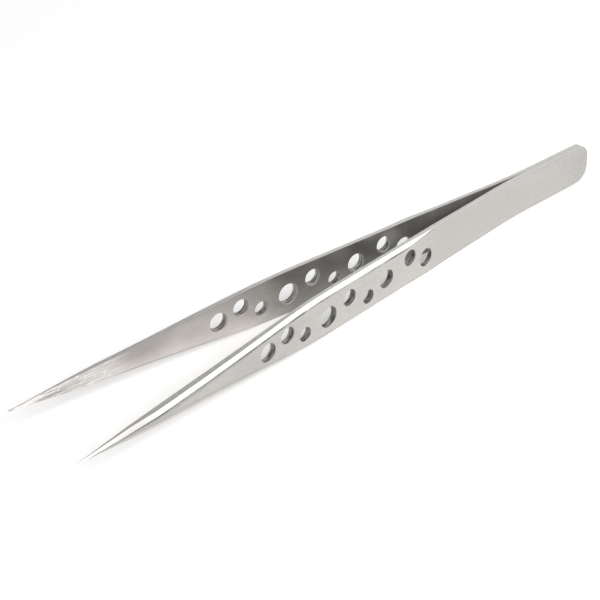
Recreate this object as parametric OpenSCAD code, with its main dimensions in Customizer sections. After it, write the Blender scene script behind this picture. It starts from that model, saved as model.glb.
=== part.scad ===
// Straight precision tweezers with needle points, all sizes in millimetres.
//
// Two spring steel arms are spot welded flat against each other at the tail. Each arm is
// cut from strip, drilled, thinned by grinding over its spring length, bent outward just
// ahead of the weld, and ground to a point with a bevel along both of its outer edges.
// X runs along the tweezers from the tail to the points, Y is the way the arms open, and
// the tweezers lie on their lower edges as on a bench, with Z up.

/* [Overall] */
// Length of one arm along its strip, tail end to point
length = 140.4; // [125:0.1:170]
// Angle that each arm stands out from the middle
leg_angle = 4.8; // [3.5:0.1:6]
// Radius of the bend ahead of the weld
bend_radius = 120; // [60:1:160]

/* [Tail] */
// Length of the flat tail, where the arms lie face to face
tail_length = 18; // [14:0.5:20]
// Width of the strip at the tail end
tail_width = 8.4; // [7:0.1:9]
// Radius of the two corners of the tail end
tail_corner = 3; // [1:0.1:3.4]

/* [Arm width] */
// Width of the arm where the fingers hold it
grip_width = 9.4; // [8.6:0.1:11]
// Where the arm reaches that width, from the tail end
grip_start = 50; // [40:1:60]
// Where the sides turn in towards the point, from the tail end
shoulder_at = 85.5; // [82:0.5:95]
// Length over which the sides turn in
shoulder_blend = 16; // [4:1:20]
// How far the sides of the blade are ground hollow
side_hollow = 0.13; // [0:0.01:0.25]
// Length of the fine point ahead of the blade
tip_length = 11.4; // [8:0.2:16]
// Width of the blade where the fine point starts
tip_base_width = 2.6; // [1.8:0.1:3.2]
// Width of the point at its very end
point_width = 0.2; // [0.15:0.05:0.8]
// Length of the flats ground inside the points, which meet when the tweezers close
flat_length = 23; // [15:0.5:30]

/* [Arm thickness] */
// Thickness of the tail and of the spring length
spring_thickness = 0.85; // [0.7:0.05:1]
// Full thickness of the strip, at the grip and the blade
grip_thickness = 1.5; // [1.2:0.05:1.7]
// Where the thinned length ends, from the tail end
thinning_end = 44; // [38:1:50]
// Length over which the strip comes back to its full thickness
thinning_runout = 16; // [8:1:20]
// Where the blade starts to thin down to the point, from the tail end
blade_start = 118; // [105:1:124]
// Thickness of the point at its very end
point_thickness = 0.3; // [0.2:0.05:0.6]

/* [Bevels] */
// Edge broken off both outer edges of the tail and spring length
edge_break = 0.05; // [0.03:0.01:0.2]
// Width of the ground bevel, measured across the arm
bevel_width = 0.7; // [0.4:0.05:1.1]
// Depth of the ground bevel at the grip
bevel_depth = 0.7; // [0.3:0.05:0.85]
// Depth of the ground bevel along the blade, up to where it thins down to the point
blade_bevel_depth = 0.5; // [0.2:0.05:0.7]

/* [Holes] */
// Where the hole nearest the tail stands, from the tail end
first_hole_at = 52.1; // [50:0.1:54]
// Distance from the first hole to the last
hole_row_length = 44.6; // [40:0.1:46]
// How far the most staggered hole stands off the middle
hole_stagger = 1.6; // [0:0.1:1.8]
// Diameter of the small holes
small_hole = 3; // [2:0.1:3.2]
// Diameter of the medium holes
medium_hole = 3.5; // [2.5:0.1:3.7]
// Diameter of the wide holes
wide_hole = 3.9; // [3:0.1:4.1]
// Diameter of the one large hole
large_hole = 4.4; // [3.5:0.1:4.6]
// Sharp edge broken off the rims of the holes
rim_break = 0.15; // [0.05:0.01:0.2]

/* [Weld and spring] */
// Diameter of a weld nugget
weld_d = 4; // [2:0.1:5]
// Depth of a weld nugget in each arm
weld_depth = 0.3; // [0.1:0.05:0.4]
// Distance of the first weld from the tail end
weld_at = 5; // [3.5:0.1:6]
// Distance between the two welds
weld_pitch = 7.5; // [5.5:0.1:8]
// Where the arm flexes when it is squeezed, from the tail end
flex_at = 31.5; // [30.5:0.5:36]
// Running clearance in the flexure that stands for the bending
flex_clearance = 0.05; // [0.02:0.01:0.1]

/* [Hidden] */
// Number of flat steps in each curved stretch of the strip
bend_steps = 6;
runout_steps = 8;
shoulder_steps = 6;
blade_steps = 8;
// Curved surfaces
$fn = 64;

// Radius that the flexure's knuckle has beyond half the strip, so that its corners are sharp
knuckle_extra = 0.02;
// How far cutting shapes reach past what they cut
over = 1;
steel = [0.78, 0.78, 0.76];
weld_grey = [0.55, 0.55, 0.56];

bend_end = tail_length + bend_radius * leg_angle * PI / 180;
runout_end = thinning_end + thinning_runout;
tip_start = length - tip_length;
side_slope = (grip_width - tip_base_width) / 2 / (tip_start - shoulder_at);
knuckle_r = spring_thickness / 2 + knuckle_extra;
flat_start = length - flat_length;

// The hole pattern: share of the row's length, share of the stagger, diameter
holes = [
    [0, -0.5, wide_hole],
    [0.115, 0.97, medium_hole],
    [0.272, 0.05, wide_hole],
    [0.39, -0.86, small_hole],
    [0.509, 0.62, medium_hole],
    [0.64, -0.27, large_hole],
    [0.782, -0.68, small_hole],
    [0.885, 0.64, medium_hole],
    [1, -0.07, wide_hole]
];

// How far s has come between two stations, from 0 to 1, and the same with soft ends
function along(s, from, to) = min(max((s - from) / (to - from), 0), 1);
function eased(share) = share * share * (3 - 2 * share);
function mix(a, b, share) = a + (b - a) * share;

// The strip's heading and the place of its inner face, at a distance s along the strip
function heading(s) = leg_angle * along(s, tail_length, bend_end);
function inner_face(s) =
    let (a = heading(s), past = max(s - bend_end, 0))
    [
        min(s, tail_length) + bend_radius * sin(a) + past * cos(leg_angle),
        bend_radius * (1 - cos(a)) + past * sin(leg_angle)
    ];

// The flats are ground at the angle that the arm has turned past the middle when they meet:
// the arm turns about the flexure, and the heel of its flat then lies in the middle
flexure_y = inner_face(flex_at)[1] + spring_thickness / 2 * cos(heading(flex_at));
heel = flat_start - flex_at;
flat_angle =
    asin(flexure_y / sqrt(heel * heel + spring_thickness * spring_thickness / 4))
    - atan(spring_thickness / 2 / heel);
function flat_depth(s) = max(s - flat_start, 0) * tan(flat_angle);

// How far past the shoulder s has come: two straight lines joined by a parabola
function past_shoulder(s) =
    let (d = s - shoulder_at, h = shoulder_blend / 2)
    d <= -h ? 0 : d >= h ? d : (d + h) * (d + h) / (4 * h);

function half_width(s) =
    let (
        widening = mix(tail_width / 2, grip_width / 2, along(s, tail_corner, grip_start)),
        hollow = side_hollow * sin(180 * along(s, shoulder_at, tip_start))
    )
    s < tip_start
    ? widening - side_slope * past_shoulder(s) - hollow
    : mix(tip_base_width / 2, point_width / 2, along(s, tip_start, length));

// The strip comes back to its full thickness after the spring, and thins down to the point.
// The thickness is counted from the inner face as it is before the flats are ground.
function full_share(s) = eased(along(s, thinning_end, runout_end));
function point_share(s) = along(s, blade_start, length);
function thickness(s) =
    mix(
        mix(spring_thickness, grip_thickness, full_share(s)),
        point_thickness + flat_depth(length),
        point_share(s)
    );

// The bevel grows out of the broken edge as the strip thickens, and leaves a narrow ridge
// where the point has no room for two bevels
function bevel_across(s) = min(mix(edge_break, bevel_width, full_share(s)), half_width(s) * 0.92);
function bevel_deep(s) =
    let (blade_share = along(s, shoulder_at, shoulder_at + shoulder_blend))
    mix(edge_break, mix(bevel_depth, blade_bevel_depth, blade_share), full_share(s))
    * mix(1, point_thickness / grip_thickness, point_share(s));

// One cross-section of the strip: inner face or flat, plain edges, bevels, outer face
function section(s) =
    let (
        p = inner_face(s),
        a = heading(s),
        i = flat_depth(s),
        t = thickness(s),
        w = half_width(s),
        e = t - bevel_deep(s),
        f = w - bevel_across(s)
    )
    [for (q = [[i, -w], [i, w], [e, w], [t, f], [t, -f], [e, -w]])
        [p[0] - q[0] * sin(a), p[1] + q[0] * cos(a), q[1]]];

// Puts distances in order, and keeps one of those that fall together
function in_order(list) =
    len(list) == 0
    ? []
    : let (m = list[floor(len(list) / 2)])
        concat(
            in_order([for (s = list) if (s < m - 0.01) s]),
            [m],
            in_order([for (s = list) if (s > m + 0.01) s])
        );

// Distances along the strip at which its form changes
stations = in_order(concat(
    [0, tail_corner, grip_start, flat_start, blade_start, length],
    [for (i = [0:bend_steps]) mix(tail_length, bend_end, i / bend_steps)],
    [for (i = [0:runout_steps]) mix(thinning_end, runout_end, i / runout_steps)],
    [for (i = [0:shoulder_steps]) shoulder_at + shoulder_blend * (i / shoulder_steps - 0.5)],
    [for (i = [0:blade_steps]) mix(shoulder_at + shoulder_blend / 2, tip_start, i / blade_steps)]
));

// A solid through the cross-sections at the stations, with each strip of quads cut in two
module loft(places) {
    rings = len(places);
    sides = len(section(0));
    points = [for (s = places) each section(s)];
    walls = [
        for (r = [0:rings - 2], k = [0:sides - 1])
            let (
                a = r * sides + k,
                b = r * sides + (k + 1) % sides
            )
            each [[a, b, b + sides], [a, b + sides, a + sides]]
    ];
    first = [for (k = [sides - 1:-1:0]) k];
    last = [for (k = [0:sides - 1]) (rings - 1) * sides + k];
    polyhedron(points = points, faces = concat([first], walls, [last]), convexity = 4);
}

// Puts its children on the inner face at s, turned with the strip
module on_strip(s) {
    p = inner_face(s);
    translate([p[0], p[1], 0])
        rotate([0, 0, heading(s)])
            children();
}

// The outline that rounds the two corners of the tail end
module tail_outline() {
    reach = length + over;
    tall = grip_width + 2 * over;
    corner_z = tail_width / 2 - tail_corner;
    rotate([90, 0, 0])
        linear_extrude(height = length, center = true)
            union() {
                translate([tail_corner, -tall / 2])
                    square([reach, tall]);
                translate([0, -corner_z])
                    square([tail_corner + over, 2 * corner_z]);
                for (side = [-1, 1])
                    translate([tail_corner, side * corner_z])
                        circle(r = tail_corner);
            }
}

// Two weld nuggets across the seam of the tail, each sunk to the same depth in both arms
module weld_spots() {
    for (i = [0, 1])
        translate([weld_at + i * weld_pitch, 0, 0])
            rotate([90, 0, 0])
                cylinder(d = weld_d, h = 2 * weld_depth, center = true);
}

// A hole square through the strip, countersunk on both faces to break its rims
module hole(at, up, d) {
    deep = thickness(at);
    flare = d / 2 + rim_break + over;
    on_strip(at)
        translate([0, 0, up])
            rotate([-90, 0, 0])
                rotate_extrude()
                    polygon([
                        [0, -over],
                        [flare, -over],
                        [d / 2, rim_break],
                        [d / 2, deep - rim_break],
                        [flare, deep + over],
                        [0, deep + over]
                    ]);
}

// One whole arm, on the side of positive Y
module arm() {
    difference() {
        intersection() {
            loft(stations);
            tail_outline();
        }
        for (h = holes)
            hole(first_hole_at + h[0] * hole_row_length, h[1] * hole_stagger, h[2]);
        weld_spots();
    }
}

// The axis that stands for the spring's bending runs through the middle of the strip
module at_flexure() {
    on_strip(flex_at)
        translate([0, spring_thickness / 2, 0])
            children();
}

// Everything from the flexure's axis on, towards the points or towards the tail
module half_space(side) {
    translate([side * length, 0, 0])
        cube(2 * length, center = true);
}

module knuckle(radius) {
    cylinder(r = radius, h = grip_width + 2 * over, center = true);
}

// The tail and the first part of the spring, ending in the seat that the rest turns in
module arm_tail() {
    color(steel)
        difference() {
            arm();
            at_flexure() {
                half_space(1);
                knuckle(knuckle_r + flex_clearance);
            }
        }
}

// The rest of the arm, starting with the round end that turns in the seat
module arm_blade() {
    color(steel)
        difference() {
            arm();
            at_flexure()
                difference() {
                    half_space(-1);
                    knuckle(knuckle_r);
                }
        }
}

// The origin is under the middle of the tweezers, on the surface that they lie on
module placed() {
    reach = inner_face(length)[0] - flat_depth(length) * sin(leg_angle);
    translate([-reach / 2, 0, grip_width / 2])
        children();
}

module mirrored() {
    mirror([0, 1, 0])
        children();
}

module left_arm_tail() {
    placed() arm_tail();
}

module left_arm_blade() {
    placed() arm_blade();
}

module right_arm_tail() {
    placed() mirrored() arm_tail();
}

module right_arm_blade() {
    placed() mirrored() arm_blade();
}

module weld_nuggets() {
    color(weld_grey)
        placed() weld_spots();
}

left_arm_tail();
left_arm_blade();
right_arm_tail();
right_arm_blade();
weld_nuggets();
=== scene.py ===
# %% [markdown]
# Straight tweezers with needle points
#
# The real tool is two strips of spring steel, spot welded face to face at the tail. Each strip is
# drilled, thinned over its spring length, bent outward just ahead of the weld and ground to a
# point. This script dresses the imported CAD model: each arm becomes one unbroken strip again, the
# steel gets its satin, ground and drilled finishes, and the tool is lit as on a white table.

# %% Load the fixed frame
import math
import bmesh
import bpy
from mathutils import Matrix, Vector


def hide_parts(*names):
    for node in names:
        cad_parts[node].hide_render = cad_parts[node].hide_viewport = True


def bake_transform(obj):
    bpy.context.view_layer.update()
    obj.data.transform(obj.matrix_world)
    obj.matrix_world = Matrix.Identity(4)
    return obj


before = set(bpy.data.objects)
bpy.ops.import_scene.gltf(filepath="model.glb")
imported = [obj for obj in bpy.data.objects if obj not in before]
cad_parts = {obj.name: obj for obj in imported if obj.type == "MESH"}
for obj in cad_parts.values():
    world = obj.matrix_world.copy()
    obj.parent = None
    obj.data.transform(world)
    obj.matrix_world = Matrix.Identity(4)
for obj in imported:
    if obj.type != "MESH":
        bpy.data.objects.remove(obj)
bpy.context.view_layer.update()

# %% [markdown]
# The strip in numbers
#
# A toolmaker thinks of the arm as a flat strip first: so long, so wide here, so thick there. The
# bend comes last. The same idea keeps the script simple. Every place on the arm is given by three
# numbers in millimetres: s, how far along the strip from the tail end, n, how far out from the
# inner face, and z, how far up or down from the middle. The sizes are those of the CAD source. Only
# a few of the blade, its edges and its ground bevels are set closer to the photo here, because a
# picture shows them more than a solid does.

# %% Sizes of one arm, in millimetres
length, leg_angle, bend_radius = 140.4, math.radians(4.8), 120.0
tail_length, tail_width, tail_corner = 18.0, 8.4, 3.0
grip_width, grip_start, shoulder_at, shoulder_blend, side_hollow = 9.4, 50.0, 85.5, 16.0, 0.13
tip_length, tip_base_width, point_width, flat_length = 11.4, 2.6, 0.2, 23.0
spring_thickness, grip_thickness, point_thickness = 0.85, 1.5, 0.3
thinning_end, thinning_runout, blade_start = 44.0, 16.0, 123.0
flex_at = 31.5

bend_end = tail_length + bend_radius * leg_angle
tip_start, flat_start = length - tip_length, length - flat_length
print("the bend ends", round(bend_end, 2), "mm from the tail end")

# %% Sizes of its edges, in millimetres
edge_break, roll_width = 0.05, 0.2
bevel_start, bevel_full = 49.0, 59.0
bevel_width, bevel_depth = 0.7, 0.7
blade_bevel_width, blade_bevel_depth = 0.97, 0.5
point_bevel_share = 0.45   # how much of its depth a bevel keeps at the point
most_of_half = 0.92        # a bevel never takes more of half the width
edge_slope, slope_start, slope_full = 0.16, 96.0, 116.0


# %% Small helpers for sizes that change along the strip
def along(s, start, end):
    """How far s has come between two distances, from 0 to 1."""
    return min(max((s - start) / (end - start), 0.0), 1.0)


def eased(share):
    """The same share, with a soft start and a soft end."""
    return share * share * (3 - 2 * share)


def mix(a, b, share):
    return a + (b - a) * share


# %% The bent line of the inner face
def inner_face(s):
    """Place and heading of the inner face at s: flat tail, round bend, straight leg."""
    turn = leg_angle * along(s, tail_length, bend_end)
    past = max(s - bend_end, 0)
    x = min(s, tail_length) + bend_radius * math.sin(turn) + past * math.cos(leg_angle)
    y = bend_radius * (1 - math.cos(turn)) + past * math.sin(leg_angle)
    return x, y, turn


# %% [markdown]
# The flats inside the points
#
# When the arms are squeezed, the points must meet face to face and not only at their ends, or a
# small component would spring away. So the last 23 mm are ground flat on the inside, at the angle
# at which they lie against each other when the arms are closed. It follows from where the arm
# bends.

# %% How deep the flats are ground
_, flex_y, _ = inner_face(flex_at)
flex_y += spring_thickness / 2 * math.cos(leg_angle)
heel = flat_start - flex_at
closing_angle = math.asin(flex_y / math.hypot(heel, spring_thickness / 2))
flat_angle = closing_angle - math.atan(spring_thickness / 2 / heel)


def flat_depth(s):
    return max(s - flat_start, 0) * math.tan(flat_angle)


middle_x = (inner_face(length)[0] - flat_depth(length) * math.sin(leg_angle)) / 2
print("flats at", round(math.degrees(flat_angle), 3), "degrees,",
      round(flat_depth(length), 3), "mm deep at the end")


# %% Width of the strip
def past_shoulder(s):
    """How far past the shoulder s has come: two straight lines joined by a soft curve."""
    d, h = s - shoulder_at, shoulder_blend / 2
    return 0 if d <= -h else d if d >= h else (d + h) ** 2 / (4 * h)


def half_width(s):
    if s < tail_corner:
        return tail_width / 2 - tail_corner + math.sqrt(max(tail_corner ** 2 - (tail_corner - s) ** 2, 0))
    if s > tip_start:
        return mix(tip_base_width, point_width, along(s, tip_start, length)) / 2
    grip = mix(tail_width, grip_width, along(s, tail_corner, grip_start)) / 2
    slope = (grip_width - tip_base_width) / 2 / (tip_start - shoulder_at)
    hollow = side_hollow * math.sin(math.pi * along(s, shoulder_at, tip_start))
    return grip - slope * past_shoulder(s) - hollow


# %% Thickness of the strip and size of its ground bevels
def full_share(s):
    """How much of its full thickness the strip has got back after the spring length."""
    return eased(along(s, thinning_end, thinning_end + thinning_runout))


def thickness(s):
    strip = mix(spring_thickness, grip_thickness, full_share(s))
    return mix(strip, point_thickness + flat_depth(length), along(s, blade_start, length))


def edge_lean(s):
    """How much narrower the blade gets per millimetre of thickness: its edges are not quite square."""
    return edge_slope * eased(along(s, slope_start, slope_full))


def outer_half_width(s):
    """Half the width on the outer side, over the outer face and both bevels."""
    return half_width(s) - edge_lean(s) * thickness(s)


def bevel_across(s):
    ground = eased(along(s, bevel_start, bevel_full))
    wider = mix(bevel_width, blade_bevel_width, along(s, shoulder_at, shoulder_at + shoulder_blend))
    return min(mix(edge_break, wider, ground), outer_half_width(s) * most_of_half)


def bevel_deep(s):
    blade = mix(bevel_depth, blade_bevel_depth, along(s, shoulder_at, shoulder_at + shoulder_blend))
    ground = eased(along(s, bevel_start, bevel_full))
    return mix(edge_break, blade, ground) * mix(1, point_bevel_share, along(s, tip_start, length))


print("half width and thickness at 5, 60, 110, 135 mm:",
      [(round(half_width(s), 2), round(thickness(s), 2)) for s in (5, 60, 110, 135)])

# %% [markdown]
# The blank
#
# Each arm starts as a straight bar with the section of the grip. Blender could build the finished
# shape point by point, but the maker's order is shorter and cleaner: a cube is stretched to the
# bar, its two outer edges get their ground bevels, and the edges are softened, so that they catch
# the light as real edges do: a twentieth of a millimetre where they are ground square, and more
# where the belt has rolled over from the bevel to the outer face. There the photo shows a thin
# dark line. Each side gets the number of its finish now, while it is easy to tell by the way it
# faces.

# %% The finishes by number, and bevels on a bar
OUTER, GROUND, EDGE, INNER, SOFTENED, ROLLED, DRILLED = finish_numbers = range(7)


def finish_of(side):
    """The finish of a side of the bar, told by the way it faces."""
    way = side.normal
    if abs(way.z) > 0.9 or abs(way.x) > 0.9:
        return EDGE
    return OUTER if way.y > 0.9 else INNER if way.y < -0.9 else GROUND


def runs_along(edge):
    return abs(edge.verts[0].co.x - edge.verts[1].co.x) > 1


def bevelled(bar, edges, width, steps):
    """Takes edges off in one or more steps, and gives back the new sides."""
    return bmesh.ops.bevel(bar, geom=edges, offset=width, offset_type="OFFSET", affect="EDGES",
                           segments=steps, profile=0.5, material=-1)["faces"]


# %% A bar of strip with ground bevels and softened edges
def strip_blank():
    bar = bmesh.new()
    bmesh.ops.create_cube(bar, size=1)
    bmesh.ops.scale(bar, vec=(length, grip_thickness, grip_width), verts=bar.verts)
    bmesh.ops.translate(bar, vec=(length / 2, grip_thickness / 2, 0), verts=bar.verts)
    outer_edges = [e for e in bar.edges if runs_along(e) and all(v.co.y > 1 for v in e.verts)]
    bevelled(bar, outer_edges, bevel_width, 1)
    for side in bar.faces:
        side.material_index = finish_of(side)
    ridges = [e for e in bar.edges if runs_along(e)
              and {side.material_index for side in e.link_faces} == {OUTER, GROUND}]
    square = [e for e in bar.edges if e.calc_face_angle() > math.radians(50)]
    for edges, width, steps, finish in ((ridges, roll_width, 5, ROLLED), (square, edge_break, 2, SOFTENED)):
        for side in bevelled(bar, [e for e in edges if e.is_valid], width, steps):
            side.material_index = finish
    return bar


# %% [markdown]
# Cut across, then form
#
# The bar is cut across wherever its form changes: closely round the tail corners, through the bend
# and the thinning, and every few millimetres along the blade. Then each point of it moves to where
# it belongs on the finished arm. The bevels and softened edges go along and shrink with the
# section, so the needle point stays clean down to its last tenth of a millimetre. Towards the tail
# the bevels have shrunk to a plain softened edge, and their sides get its finish.

# %% Where the bar is cut across
cuts = [tail_corner * (1 - math.cos(math.radians(9 * i))) for i in range(2, 11)]
cuts += [6, 10, 14] + [tail_length + i for i in range(43)]
cuts += [64, 68, 73] + [shoulder_at - shoulder_blend / 2 + i for i in range(17)]
cuts += [96, 99, 102, 105, 108, 111, 114, flat_start, 120, blade_start, 126, tip_start, 132, 135, 138]
print(len(cuts), "cuts across the bar")


def cut_across(bar):
    for s in cuts:
        bmesh.ops.bisect_plane(bar, geom=bar.verts[:] + bar.edges[:] + bar.faces[:], dist=1e-4,
                               plane_co=(s, 0, 0), plane_no=(1, 0, 0))
    for side in bar.faces:
        if side.material_index in (GROUND, ROLLED) and side.calc_center_median().x < bevel_start + 1:
            side.material_index = SOFTENED


# %% Form the cut bar into an arm
def form(bar):
    plain, ridge = grip_thickness - bevel_depth, grip_width / 2 - bevel_width
    for point in bar.verts:
        s, out, up = point.co
        s = min(max(s, 0), length)
        edge, thick = thickness(s) - bevel_deep(s), thickness(s)
        n = (mix(flat_depth(s), edge, out / plain) if out < plain
             else mix(edge, thick, (out - plain) / bevel_depth))
        wide = half_width(s) - edge_lean(s) * n
        flat = wide - bevel_across(s)
        z = flat * abs(up) / ridge if abs(up) < ridge else mix(flat, wide, (abs(up) - ridge) / bevel_width)
        x, y, turn = inner_face(s)
        point.co = (x - n * math.sin(turn), y + n * math.cos(turn), math.copysign(z, up))


# %% [markdown]
# Nine holes
#
# The holes lighten the arm and give the fingers grip. Each is drilled square through the strip,
# and its rims are rounded over: well on the inside, and less on the outside, where the belt took
# most of the rounding off again. A drill and a rounding cutter are turned shapes, so both are spun
# from half a profile, and a Boolean takes them out of the arm: first all the drills, then all the
# rounding cutters. The cutters stand square to the surface that they touch, so that each rim is
# even all round, also where the strip is still getting thicker. The widths are those of the rims,
# as they show in the photo, and the drill is narrower.

# %% The hole pattern: place along the strip, height, width over the rims
row_start, row_length, row_height = 52.1, 44.6, 1.6
hole_row = [(row_start + row_length * share, row_height * high, wide) for share, high, wide in (
    (0, -0.5, 3.9), (0.115, 0.97, 3.5), (0.272, 0.05, 3.9), (0.39, -0.86, 3.0), (0.509, 0.62, 3.5),
    (0.64, -0.27, 4.4), (0.782, -0.68, 3.0), (0.885, 0.64, 3.5), (1, -0.07, 3.9))]
print("holes at", [round(s, 1) for s, _, _ in hole_row], "mm")


# %% Places on the strip, and turned tools
def on_strip(s, n, z, tilt=0.0):
    """The frame of a place on the strip: its Y axis points straight out of the arm."""
    x, y, turn = inner_face(s)
    place = Matrix.Translation((x - n * math.sin(turn), y + n * math.cos(turn), z))
    return place @ Matrix.Rotation(turn + tilt, 4, "Z")


def turned(tools, profile, place):
    """Spins half a profile of (radius, height) about the Y axis of its place."""
    points = [tools.verts.new(place @ Vector((radius, height, 0))) for radius, height in profile]
    lines = [tools.edges.new(pair) for pair in zip(points, points[1:])]
    bmesh.ops.spin(tools, geom=points + lines, cent=place.translation, axis=place.to_3x3().col[1],
                   dvec=(0, 0, 0), angle=math.tau, steps=64, use_merge=True)


# %% The drills, which reach well past both faces
rim_width = 0.08


def drills():
    tools = bmesh.new()
    for s, z, wide in hole_row:
        r = wide / 2 - rim_width
        turned(tools, [(0, -1), (r, -1), (r, 3), (0, 3)], on_strip(s, 0, z))
    return tools


# %% The rounding cutters
outer_rounding, inner_rounding = 0.1, 0.2


def rounding_profile(r, deep):
    """Half the outline of a cutter for the rim of a hole of radius r.

    Its nose stays clear of the wall, the curve goes from the wall up and outward, and its top ends
    in the air above the surface. A radius of 0 closes it on its axis.
    """
    curve = [(r + deep * out, -deep * down) for out, down in ((0.05, 1), (0.18, 0.5), (0.4, 0.17))]
    return [(0, -0.4), (r - 0.02, -0.4), *curve, (r + 0.3, 0.08), (r + 0.3, 0.5), (0, 0.5)]


def rounding_cutters():
    tools = bmesh.new()
    for s, z, wide in hole_row:
        r = wide / 2 - rim_width
        slope = math.atan(thickness(s + 0.5) - thickness(s - 0.5))
        turned(tools, rounding_profile(r, outer_rounding), on_strip(s, thickness(s), z, slope))
        turned(tools, rounding_profile(r, inner_rounding), on_strip(s, 0, z, math.pi))
    return tools


# %% Take the tools out of the arm
def as_object(shape, name):
    mesh = bpy.data.meshes.new(name)
    shape.to_mesh(mesh)
    shape.free()
    for _ in finish_numbers:
        mesh.materials.append(None)
    thing = bpy.data.objects.new(name, mesh)
    bpy.context.scene.collection.objects.link(thing)
    return thing


def cut_out(arm, tools, finish):
    """Takes the tools out of the arm; the cut faces get the tools' finish."""
    bmesh.ops.remove_doubles(tools, verts=tools.verts, dist=1e-3)
    bmesh.ops.recalc_face_normals(tools, faces=tools.faces)
    for side in tools.faces:
        side.material_index = finish
    cutter = as_object(tools, "cutter")
    cut = arm.modifiers.new("cut", "BOOLEAN")
    cut.operation, cut.solver, cut.material_mode, cut.object = "DIFFERENCE", "EXACT", "INDEX", cutter
    bpy.context.view_layer.update()
    arm_now = arm.evaluated_get(bpy.context.evaluated_depsgraph_get())
    arm.data = bpy.data.meshes.new_from_object(arm_now)
    arm.modifiers.clear()
    bpy.data.objects.remove(cutter)


# %% [markdown]
# Where each place was on the flat strip
#
# The grain of the steel runs along the strip, round the bend and out along the leg. So each point
# of the arm remembers s, n and z, its place on the flat strip, in an attribute of that name. The
# finishes read it in place of Object coordinates, and their grain follows the arm. A second
# attribute keeps two widths of the strip at that point, half of the whole and half of the outer
# face, so that a finish can follow the edges and the ridges.

# %% The way back from the bent arm to the flat strip
def flat_place(x, y, z):
    """The s, n and z of a point of the bent arm: in its tail, in its bend or on its leg."""
    if x < tail_length:
        return x, y, z
    turn = math.atan2(x - tail_length, bend_radius - y)
    if turn < leg_angle:
        return (tail_length + bend_radius * turn,
                bend_radius - math.hypot(x - tail_length, bend_radius - y), z)
    bx, by, _ = inner_face(bend_end)
    dx, dy = x - bx, y - by
    return (bend_end + dx * math.cos(leg_angle) + dy * math.sin(leg_angle),
            dy * math.cos(leg_angle) - dx * math.sin(leg_angle), z)


# %% Remember the places and the widths
def remember_places(mesh, shift):
    """Writes s, n and z on each point; a shift of n gives the second arm a grain of its own."""
    places = mesh.attributes.new("strip", "FLOAT_VECTOR", "POINT")
    widths = mesh.attributes.new("widths", "FLOAT_VECTOR", "POINT")
    for point, place, width in zip(mesh.vertices, places.data, widths.data):
        s, n, z = flat_place(*point.co)
        place.vector = (s, n + shift, z)
        width.vector = (half_width(s), outer_half_width(s) - bevel_across(s), 0)


# %% Finish an arm: whole, in metres and in its place
grain_shift, sharp_angle = 60, math.radians(12)


def place_arm(arm, side):
    """Merges the seams and brings the arm to its place; side -1 mirrors it."""
    shape = bmesh.new()
    shape.from_mesh(arm.data)
    bmesh.ops.remove_doubles(shape, verts=shape.verts, dist=1e-5)
    bmesh.ops.translate(shape, vec=(-middle_x, 0, grip_width / 2), verts=shape.verts)
    bmesh.ops.scale(shape, vec=(0.001, 0.001 * side, 0.001), verts=shape.verts)
    if side < 0:
        bmesh.ops.reverse_faces(shape, faces=shape.faces)
    print(arm.name, len(shape.faces), "faces, open edges:", sum(not e.is_manifold for e in shape.edges),
          "volume mm3:", round(shape.calc_volume() * 1e9, 1))
    shape.to_mesh(arm.data)
    shape.free()


def strip_arm(name, side):
    bar = strip_blank()
    cut_across(bar)
    form(bar)
    arm = as_object(bar, name)
    cut_out(arm, drills(), DRILLED)
    cut_out(arm, rounding_cutters(), SOFTENED)
    remember_places(arm.data, 0 if side > 0 else grain_shift)
    place_arm(arm, side)
    for face in arm.data.polygons:
        face.use_smooth = True
    arm.data.set_sharp_from_angle(angle=sharp_angle)
    return arm


# %% Make the left arm, then the right one as its mirror image
left_arm = strip_arm("left_arm", 1)
right_arm = strip_arm("right_arm", -1)

# %% [markdown]
# The arms and the CAD halves
#
# The real arm is one strip that bends in its thin spring length. The CAD model has to cut it in
# two and put a hinge there. Here each arm stands for both of its halves, which are hidden, so no
# seam shows. The spring stretch is the same length on both sides of the hinge, 31.5 mm from the
# tail end.

# %% The arms stand for the CAD halves, which are hidden
def at_distance(s):
    return ((s - middle_x) / 1000, 0, grip_width / 2000)


for arm, side in ((left_arm, "left"), (right_arm, "right")):
    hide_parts(side + "_arm_tail", side + "_arm_blade")
    at_distance(19)
    at_distance(44)
    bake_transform(arm)
    print(arm.name, "bends from", at_distance(19)[0], "to", at_distance(44)[0])

# %% [markdown]
# Shader maths in plain Python
#
# A material is worked out by nodes, but a long chain of Math nodes is hard to read. One small
# class stands for a socket and turns Python's operators into Math nodes. Any other node comes from
# one method, which takes the kind of node, its settings, and the values or links of its sockets.

# %% A value in a material
class Tone:
    """A socket that Python's operators work on."""

    def __init__(self, finish, socket):
        self.finish, self.socket = finish, socket

    def maths(self, kind, first, second):
        return self.finish.node("Math", {"operation": kind}, {0: first, 1: second})

    def __add__(self, other):
        return self.maths("ADD", self, other)

    def __mul__(self, other):
        return self.maths("MULTIPLY", self, other)

    def __sub__(self, other):
        return self.maths("SUBTRACT", self, other)

    def __rsub__(self, other):
        return self.maths("SUBTRACT", other, self)

    __radd__, __rmul__ = __add__, __mul__

    def __abs__(self):
        return self.finish.node("Math", {"operation": "ABSOLUTE"}, {0: self})


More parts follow.
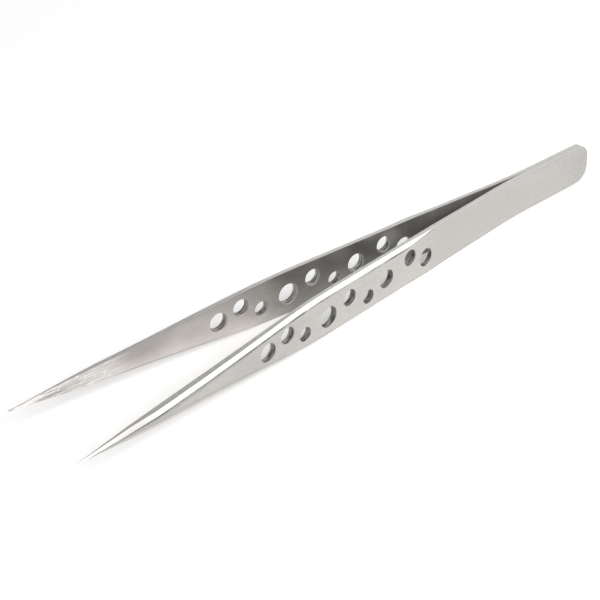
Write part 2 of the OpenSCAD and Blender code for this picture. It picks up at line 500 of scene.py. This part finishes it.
# %% A material that values belong to
class Finish:
    """A finish of the steel: one material, and one method that adds a node to it."""

    def __init__(self, name):
        self.material = bpy.data.materials.new(name)
        self.material.use_nodes = True
        self.tree = self.material.node_tree
        self.tree.nodes.clear()

    def node(self, kind, settings=None, values=None, out=0):
        made = self.tree.nodes.new("ShaderNode" + kind)
        for key, value in (settings or {}).items():
            setattr(made, key, value)
        for key, value in (values or {}).items():
            if isinstance(value, Tone):
                self.tree.links.new(value.socket, made.inputs[key])
            else:
                made.inputs[key].default_value = value
        return Tone(self, made.outputs[out]) if made.outputs else None


# %% [markdown]
# Noise that runs along the strip
#
# Sanding and grinding leave fine lines along the strip. They are noise that is stretched: slow
# along s, quick across. The three numbers say how many changes there are in a millimetre along s,
# n and z. Where only the peaks of a noise are wanted, such as single scratches, a smooth step
# between two values keeps them. The same step on s, n or z says where along or across the strip
# something begins.

# %% Stretched noise, and the numbers that an attribute keeps
def lines(finish, changes, detail=3.0, roughness=0.6):
    strip = finish.node("Attribute", {"attribute_name": "strip"}, out="Vector")
    stretched = finish.node("VectorMath", {"operation": "MULTIPLY"}, {0: strip, 1: changes})
    return finish.node("TexNoise", {}, {"Vector": stretched, "Scale": 1.0, "Detail": detail,
                                        "Roughness": roughness})


def kept(finish, attribute, axis):
    """One of the three numbers, in millimetres, that an attribute keeps."""
    numbers = finish.node("Attribute", {"attribute_name": attribute}, out="Vector")
    return finish.node("SeparateXYZ", {}, {0: numbers}, out=axis)


# %% A smooth step, and mixes of two colours
def between(finish, value, low, high):
    """0 where the value is below low, 1 above high."""
    return finish.node("MapRange", {"interpolation_type": "SMOOTHSTEP"},
                       {"Value": value, "From Min": low, "From Max": high})


def mixed(finish, share, first, second):
    return finish.node("Mix", {"data_type": "RGBA"}, {0: share, 6: first, 7: second}, out=2)


def shade(finish, share, dark, light):
    return mixed(finish, share, (*dark, 1), (*light, 1))


def tint(colour, by):
    return tuple(min(c * by, 1) for c in colour)


# %% The steel itself
def polish(finish, colour, roughness, height, metallic=1.0):
    """A metal with its colour, its roughness and a relief in millimetres."""
    relief = finish.node("Bump", {}, {"Strength": 1.0, "Distance": 0.001, "Height": height})
    steel = finish.node("BsdfPrincipled", {}, {"Base Color": colour, "Metallic": metallic,
                                               "Roughness": roughness, "Normal": relief})
    finish.node("OutputMaterial", {}, {"Surface": steel})
    print("finish", finish.material.name, "has", len(finish.tree.nodes), "nodes")
    return finish.material


# %% [markdown]
# The satin outer faces
#
# The photo shows a bright grey face, a little warm, with a soft sheen and a grain along the strip
# that is only just visible. Four noises make it: hair lines a tenth of a millimetre wide, broader
# streaks, a short grain, and faint clouds where the belt pressed harder or a finger has been. The
# face is palest between the holes and again on the blade, and a little duller in the last
# centimetre of the tail; towards the point it is painted darker, a painted shade. Next to the
# ridges the belt has given it a slight crown, which is too shallow for the mesh and is done in the
# relief, and a strip there is painted darker, a painted dark reflection, most of all along the
# upper ridge, so the upper side is painted darker than the lower.

# %% The outer face next to its ridges
stainless = (0.52, 0.51, 0.49)


def beside_ridge(f, s, z):
    """How far the crown has risen next to the ridge, and the painted shade on the strip there."""
    from_ridge = kept(f, "widths", "Y") - abs(z)
    reach = 0.15 + 0.65 * between(f, s, 86, 104)
    crown = reach * between(f, from_ridge, -1 * reach, reach)
    # painted shade: a dark strip next to the ridge, stronger on the upper side and on the blade
    upper = 0.25 + 0.75 * between(f, z, -0.5, 0.5)
    strip = (1 - between(f, from_ridge, 0, reach)) * upper * between(f, s, 50, 60)
    return crown, strip * (0.5 + 0.15 * between(f, s, 92, 102))


# %% Satin steel
def satin_finish():
    f = Finish("satin_outer_face")
    s, z = kept(f, "strip", "X"), kept(f, "strip", "Z")
    hair, streak = lines(f, (0.25, 4, 6), 5, 0.7), lines(f, (0.05, 1, 1.6))
    grain, cloud = lines(f, (1.0, 2.4, 2.4), 3, 0.7), lines(f, (0.09, 0.2, 0.16), 2)
    frayed = s + 8 * cloud
    paler = between(f, frayed, 50, 62) - between(f, frayed, 84, 98) + 0.8 * between(f, s, 102, 110)
    # duller in the last centimetre of the tail, and painted shade towards the point
    dull_tail_shaded_point = 1 - between(f, s, 0, 10) + 0.3 * between(f, s, 108, 116)
    crown, ridge_painted_shade = beside_ridge(f, s, z)
    tone = hair * 0.3 + streak * 0.2 + cloud * 0.2 + grain * 0.5 + paler * 0.16 - dull_tail_shaded_point * 0.12
    colour = shade(f, tone - ridge_painted_shade - 0.16, tint(stainless, 0.74), tint(stainless, 1.26))
    height = 0.003 * hair + 0.0012 * streak + 0.3 * crown
    return polish(f, colour, 0.24 + 0.12 * hair + 0.1 * cloud, height)


# %% [markdown]
# The ground bevels and the plain edges
#
# The bevels are ground last, on a finer wheel, and are the brightest lines of the tool. The plain
# edges are ground square and stay a little duller, with lines along them and a light mottle where
# the wheel has skipped.

# %% Ground bevel and plain edge
def bevel_finish():
    f = Finish("ground_bevel")
    fine, streak = lines(f, (0.3, 9, 9), 3), lines(f, (0.08, 2, 2), 2)
    colour = shade(f, streak, tint(stainless, 1.0), tint(stainless, 1.12))
    return polish(f, colour, 0.17 + 0.08 * fine, 0.0012 * fine)


def edge_finish():
    f = Finish("ground_edge")
    fine, streak = lines(f, (0.25, 7, 7), 4), lines(f, (0.07, 1.5, 1.5), 2)
    mottle = lines(f, (0.8, 3, 3), 2)
    tone = fine * 0.4 + streak * 0.4 + mottle * 1.4 - 0.54
    colour = shade(f, tone, tint(stainless, 0.7), tint(stainless, 1.1))
    return polish(f, colour, 0.25 + 0.12 * fine, 0.0025 * fine + 0.0008 * streak)


# %% [markdown]
# The softened and the rolled edges
#
# Where two faces meet at a square edge, the burr has been taken off: a line a tenth of a millimetre
# wide, a little duller than the faces. The rounded rims of the holes are finished the same way.
# Between the bevel and the outer face the belt has rolled over instead. That ridge is painted dark
# in patches, a painted dark reflection that draws a line under the bright bevel. The ridges that
# the tool lies on, the lower ones, are painted lighter than the upper ones, most of all on the blade.

# %% Softened edge and rolled ridge
def softened_finish():
    f = Finish("softened_edge")
    patch, fine = lines(f, (0.12, 0.5, 0.5), 3), lines(f, (0.6, 6, 6), 3)
    colour = shade(f, patch * 0.8 + fine * 0.3, tint(stainless, 0.62), tint(stainless, 1.05))
    return polish(f, colour, 0.36 + 0.15 * fine, 0.004 * fine)


def rolled_finish():
    f = Finish("rolled_ridge")
    patch, fine = between(f, lines(f, (0.16, 0.3, 0.1), 3), 0.35, 0.65), lines(f, (0.6, 6, 6), 3)
    s, z = kept(f, "strip", "X"), kept(f, "strip", "Z")
    blade, lower_ridge_painted_light = between(f, s, shoulder_at, 104), 1 - between(f, z, -0.5, 0.5)
    # painted dark reflection on the ridge; the lower ridges painted lighter, more so on the blade
    tone = patch * 0.8 * (1 - 0.6 * blade) + fine * 0.3 + (0.7 + 0.2 * blade) * lower_ridge_painted_light - 0.05
    colour = shade(f, tone, tint(stainless, 0.2), tint(stainless, 0.95))
    return polish(f, colour, 0.4 + 0.15 * fine, 0.004 * fine)


# %% [markdown]
# The inner faces and the flats inside the points
#
# The belt can't reach far between the arms. Between the grips the inner faces stay dull, as the
# strip was rolled, and their colour is painted darker still, a painted shade between the arms,
# with short smears across it where a file was taken out sideways, and next to the spring a thin
# grey scale of the heat treatment is left, so it is less of a mirror. On the blade they are sanded,
# and a little warm in tone where the grinding heat has tinted them. The lower half is the paler
# one, a smoky patch is left before the flats, and a thin dark line runs along the edges, most of
# all the lower one. Towards the points the coarser wheel that ground the flats has run out over
# the inner face: paler steel with streaks and scratches, small bright specks where a grain broke
# out, and near the point a few darker gouges. None of the three ends in a sharp line, so they are
# one finish, mixed by shares that grow along the strip and fray with the noise.

# %% Between the grips: dull, as the strip was rolled, and darker with painted shade between the arms
rolled_shaded_grey, warm_grey = (0.5, 0.484, 0.453), (0.545, 0.513, 0.494)


def between_grips(f, hair, cloud, fine, smear):
    # painted shade between the arms: this colour is kept darker than on the blade
    tone = hair * 0.4 + cloud * 0.6 + fine * 0.3 + smear * 0.2 - 0.25
    return shade(f, tone, tint(rolled_shaded_grey, 0.42), tint(rolled_shaded_grey, 0.92))


# %% On the blade: sanded, with a dark line along its edges
def on_blade(f, s, z, hair, cloud, fine, ground):
    smoky = between(f, s + 6 * cloud - 3, 105, 111) - ground
    low = 1 - between(f, z, -2.5, 1)
    # a thin dark line along the edges, stronger along the lower one
    dark_edge_line = (1 - between(f, kept(f, "widths", "X") - abs(z), 0.12, 0.32)) * between(f, s, 92, 104)
    tone = hair * 0.25 + cloud * 0.6 + fine * 0.2 - 0.25 * smoky
    tone = tone + low * (0.1 + 0.26 * between(f, s, 100, 112)) - 0.17
    return shade(f, tone - (0.3 + 0.9 * low) * dark_edge_line, tint(warm_grey, 0.8), tint(warm_grey, 1.6))


# %% On the flats: pale, streaked and scratched, with a few gouges near the point
def on_flats(f, s, streak, fine, speck, gouge):
    scratch = between(f, lines(f, (0.25, 6, 10), 2), 0.5, 0.62)
    tone = streak * 0.8 + fine * 0.6 + scratch * 0.4 + speck * 0.6 + 0.4 * between(f, s, 130, 138)
    return shade(f, tone - 0.32 - 0.9 * gouge, tint(warm_grey, 0.82), tint(stainless, 1.88))


def gouges(f, s, z):
    """Short deep lines in the last of the flats, in the middle of the face and below it."""
    deep_lines = between(f, lines(f, (0.14, 2, 4.5), 2), 0.52, 0.58)
    return deep_lines * between(f, s, 124, 128) * (1 - between(f, z, 0, 0.8))


# %% The whole inner face
def inner_finish():
    f = Finish("inner_face")
    s, z = kept(f, "strip", "X"), kept(f, "strip", "Z")
    hair, streak = lines(f, (0.25, 4, 6), 5, 0.7), lines(f, (0.12, 1.6, 2.2), 4)
    fine, cloud = lines(f, (0.6, 4, 4.5), 3), lines(f, (0.1, 0.2, 0.2), 3)
    smear = between(f, lines(f, (0.8, 0.3, 0.1), 4), 0.48, 0.7) * (1 - between(f, s, 44, 80))
    ground = between(f, s + 8 * streak + 3 * hair - 5.5, flat_start - 2, flat_start + 4)
    speck = between(f, lines(f, (1.1, 2, 2.4), 1), 0.62, 0.7) * ground
    gouge = gouges(f, s, z)

    sanded_share = between(f, s + 10 * cloud - 5, 78, 93)
    worn = mixed(f, sanded_share, between_grips(f, hair, cloud, fine, smear),
                 on_blade(f, s, z, hair, cloud, fine, ground))
    colour = mixed(f, ground, worn, on_flats(f, s, streak, fine, speck, gouge))

    roughness = 0.24 + 0.1 * hair + 0.12 * cloud + 0.08 * smear + 0.1 * ground - 0.1 * speck
    relief = hair + 0.3 * smear + ground * (streak + fine) + speck - 2 * gouge
    scale = 0.5 * (1 - between(f, s, 40, 66))
    return polish(f, colour, roughness, 0.003 * relief, 1 - scale)


# %% [markdown]
# The holes and the welds
#
# The walls of the holes are rough as the drill left them, with rings all round; their dark colour
# is painted shade inside the holes. So their noise is quick through the thickness and slow in the
# other two directions. The weld nuggets lie inside the seam and never show on the finished tool,
# but they are real pieces and get a finish of their own: grey steel that has melted and set again,
# mottled, on Object coordinates, because they are the CAD's own solids.

# %% Drilled wall and fused weld
def drilled_finish():
    f = Finish("drilled_wall")
    rings, patch = between(f, lines(f, (0.5, 3.2, 0.5), 1), 0.38, 0.62), lines(f, (0.9, 0.9, 0.9), 3)
    # painted shade inside the hole: the dark end of the wall colour
    colour = shade(f, rings * 0.6 + patch * 0.6 - 0.15, (0.025, 0.024, 0.022), (0.52, 0.505, 0.475))
    return polish(f, colour, 0.3 + 0.16 * rings, 0.008 * rings)


def weld_finish():
    f = Finish("fused_weld")
    place = f.node("TexCoord", {}, out="Object")
    mottle = f.node("TexNoise", {}, {"Vector": place, "Scale": 1800.0, "Detail": 4.0})
    colour = shade(f, mottle, (0.2, 0.2, 0.21), (0.42, 0.41, 0.4))
    return polish(f, colour, 0.42 + 0.2 * mottle, 0.02 * mottle)


# %% Put the finishes on, in the order of their numbers
finishes = [satin_finish(), bevel_finish(), edge_finish(), inner_finish(), softened_finish(),
            rolled_finish(), drilled_finish()]
for arm in (left_arm, right_arm):
    for number, finish in zip(finish_numbers, finishes):
        arm.data.materials[number] = finish
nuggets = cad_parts["weld_nuggets"]
weld = weld_finish()
for slot in nuggets.material_slots:
    slot.material = weld
if not nuggets.material_slots:
    nuggets.data.materials.append(weld)

# %% [markdown]
# The table
#
# The photo is taken on white paper that loses all its tone: only a faint soft shadow tells where
# the arms touch it. The floor is a pale matt sheet. Where the camera or the steel looks at it, part
# of its brightness is its own, so that it is white and still takes the shadow.

# %% Paper that is white to look at and plain for the light
def looked_at(finish):
    """1 where the camera or a mirroring surface looks, 0 where light is only gathered."""
    ways = finish.node("LightPath").socket.node.outputs
    looks = ("Is Camera Ray", "Is Glossy Ray", "Is Transmission Ray")
    return sum((Tone(finish, ways[name]) for name in looks), 0)


def paper_finish():
    f = Finish("white_paper")
    plain = f.node("BsdfDiffuse", {}, {"Color": (0.8, 0.8, 0.8, 1)})
    shadow = f.node("BsdfDiffuse", {}, {"Color": (0.77, 0.761, 0.755, 1)})
    white = f.node("Emission", {}, {"Color": (1, 1, 1, 1), "Strength": 0.34})
    shown = f.node("AddShader", {}, {0: shadow, 1: white})
    paper = f.node("MixShader", {}, {0: looked_at(f), 1: plain, 2: shown})
    f.node("OutputMaterial", {}, {"Surface": paper})
    return f.material


# %% White table, a sheet large enough to have no edge in any view
sheet = bmesh.new()
bmesh.ops.create_grid(sheet, x_segments=1, y_segments=1, size=6)
table = bpy.data.meshes.new("white_table")
sheet.to_mesh(table)
sheet.free()
table.materials.append(paper_finish())
floor = bpy.data.objects.new("white_table", table)
bpy.context.scene.collection.objects.link(floor)

# %% [markdown]
# The light
#
# Steel has hardly any look of its own: it shows what stands round it. A pale backdrop goes all
# round and gives soft light from every side. The camera and the steel see it as pale as the far
# end of the table, so that no horizon cuts the picture in two. Three softboxes stand round the
# tool: one where the camera sees it in the ground bevels, one for the upper edges towards the
# tail, and a key light on the near side, which lays the soft shadow between the arms. Each is
# given its brightness, and its power follows from its size.

# %% Pale backdrop all round
class Backdrop(Finish):
    """The world, with the same method for its nodes."""

    def __init__(self, name):
        self.world = bpy.data.worlds.new(name)
        self.world.use_nodes = True
        self.tree = self.world.node_tree
        self.tree.nodes.clear()


backdrop = Backdrop("backdrop")
glow = 0.46 + 0.26 * looked_at(backdrop)
lit = backdrop.node("Background", {}, {"Color": (1, 1, 1, 1), "Strength": glow})
backdrop.node("OutputWorld", {}, {"Surface": lit})
bpy.context.scene.world = backdrop.world


# %% Softboxes
def softbox(name, azimuth, elevation, distance, wide, high, brightness):
    """A softbox that stands in a direction from the tool, in degrees, and faces it."""
    lamp = bpy.data.lights.new(name, "AREA")
    lamp.shape, lamp.size, lamp.size_y = "RECTANGLE", wide, high
    lamp.energy = brightness * math.pi * wide * high
    box = bpy.data.objects.new(name, lamp)
    turn = (Matrix.Rotation(math.radians(azimuth), 4, "Z")
            @ Matrix.Rotation(math.radians(90 - elevation), 4, "Y"))
    box.matrix_world = turn @ Matrix.Translation((0, 0, distance)) @ Matrix.Rotation(math.pi / 2, 4, "Z")
    bpy.context.scene.collection.objects.link(box)
    print(name, "gives", round(lamp.energy, 3), "W")


softbox("bevel_softbox", 133, 25, 0.6, 0.5, 0.5, 1.9)
softbox("edge_softbox", -146, 28, 0.6, 0.46, 0.34, 0.5)
softbox("key_softbox", 98, 52, 0.7, 0.5, 0.5, 3.3)

# %% [markdown]
# The camera
#
# The camera was found by measurement: its place and lens were turned until the outline and the
# holes of both arms fell on those of the photo, most of them with less than a pixel between.

# %% The way the camera looks: azimuth, elevation and roll in degrees
azimuth, elevation, roll = math.radians(139.044), math.radians(32.930), math.radians(-1.808)
back = Vector((math.sin(azimuth) * math.cos(elevation), -math.cos(azimuth) * math.cos(elevation),
               math.sin(elevation)))
level = Vector((0, 0, 1)).cross(back).normalized()
right = level * math.cos(roll) + back.cross(level) * math.sin(roll)
facing = Matrix((right, back.cross(right), back)).transposed().to_4x4()

# %% The camera, where the photo was taken from
aim = Vector((81.739 - middle_x, -0.039, 1.022 + grip_width / 2)) / 1000
distance, picture_width, focal_length = 0.30905, 600, 1654.73
camera = bpy.data.objects.new("camera", bpy.data.cameras.new("camera"))
bpy.context.scene.collection.objects.link(camera)
camera.data.sensor_width = 36
camera.data.lens = focal_length * 36 / picture_width
camera.data.clip_start = 0.01
camera.matrix_world = Matrix.Translation(aim + back * distance) @ facing
bpy.context.scene.camera = camera
bpy.context.scene.view_settings.view_transform = "Standard"
print("lens", round(camera.data.lens, 2), "mm, camera at",
      [round(v, 4) for v in camera.matrix_world.translation])
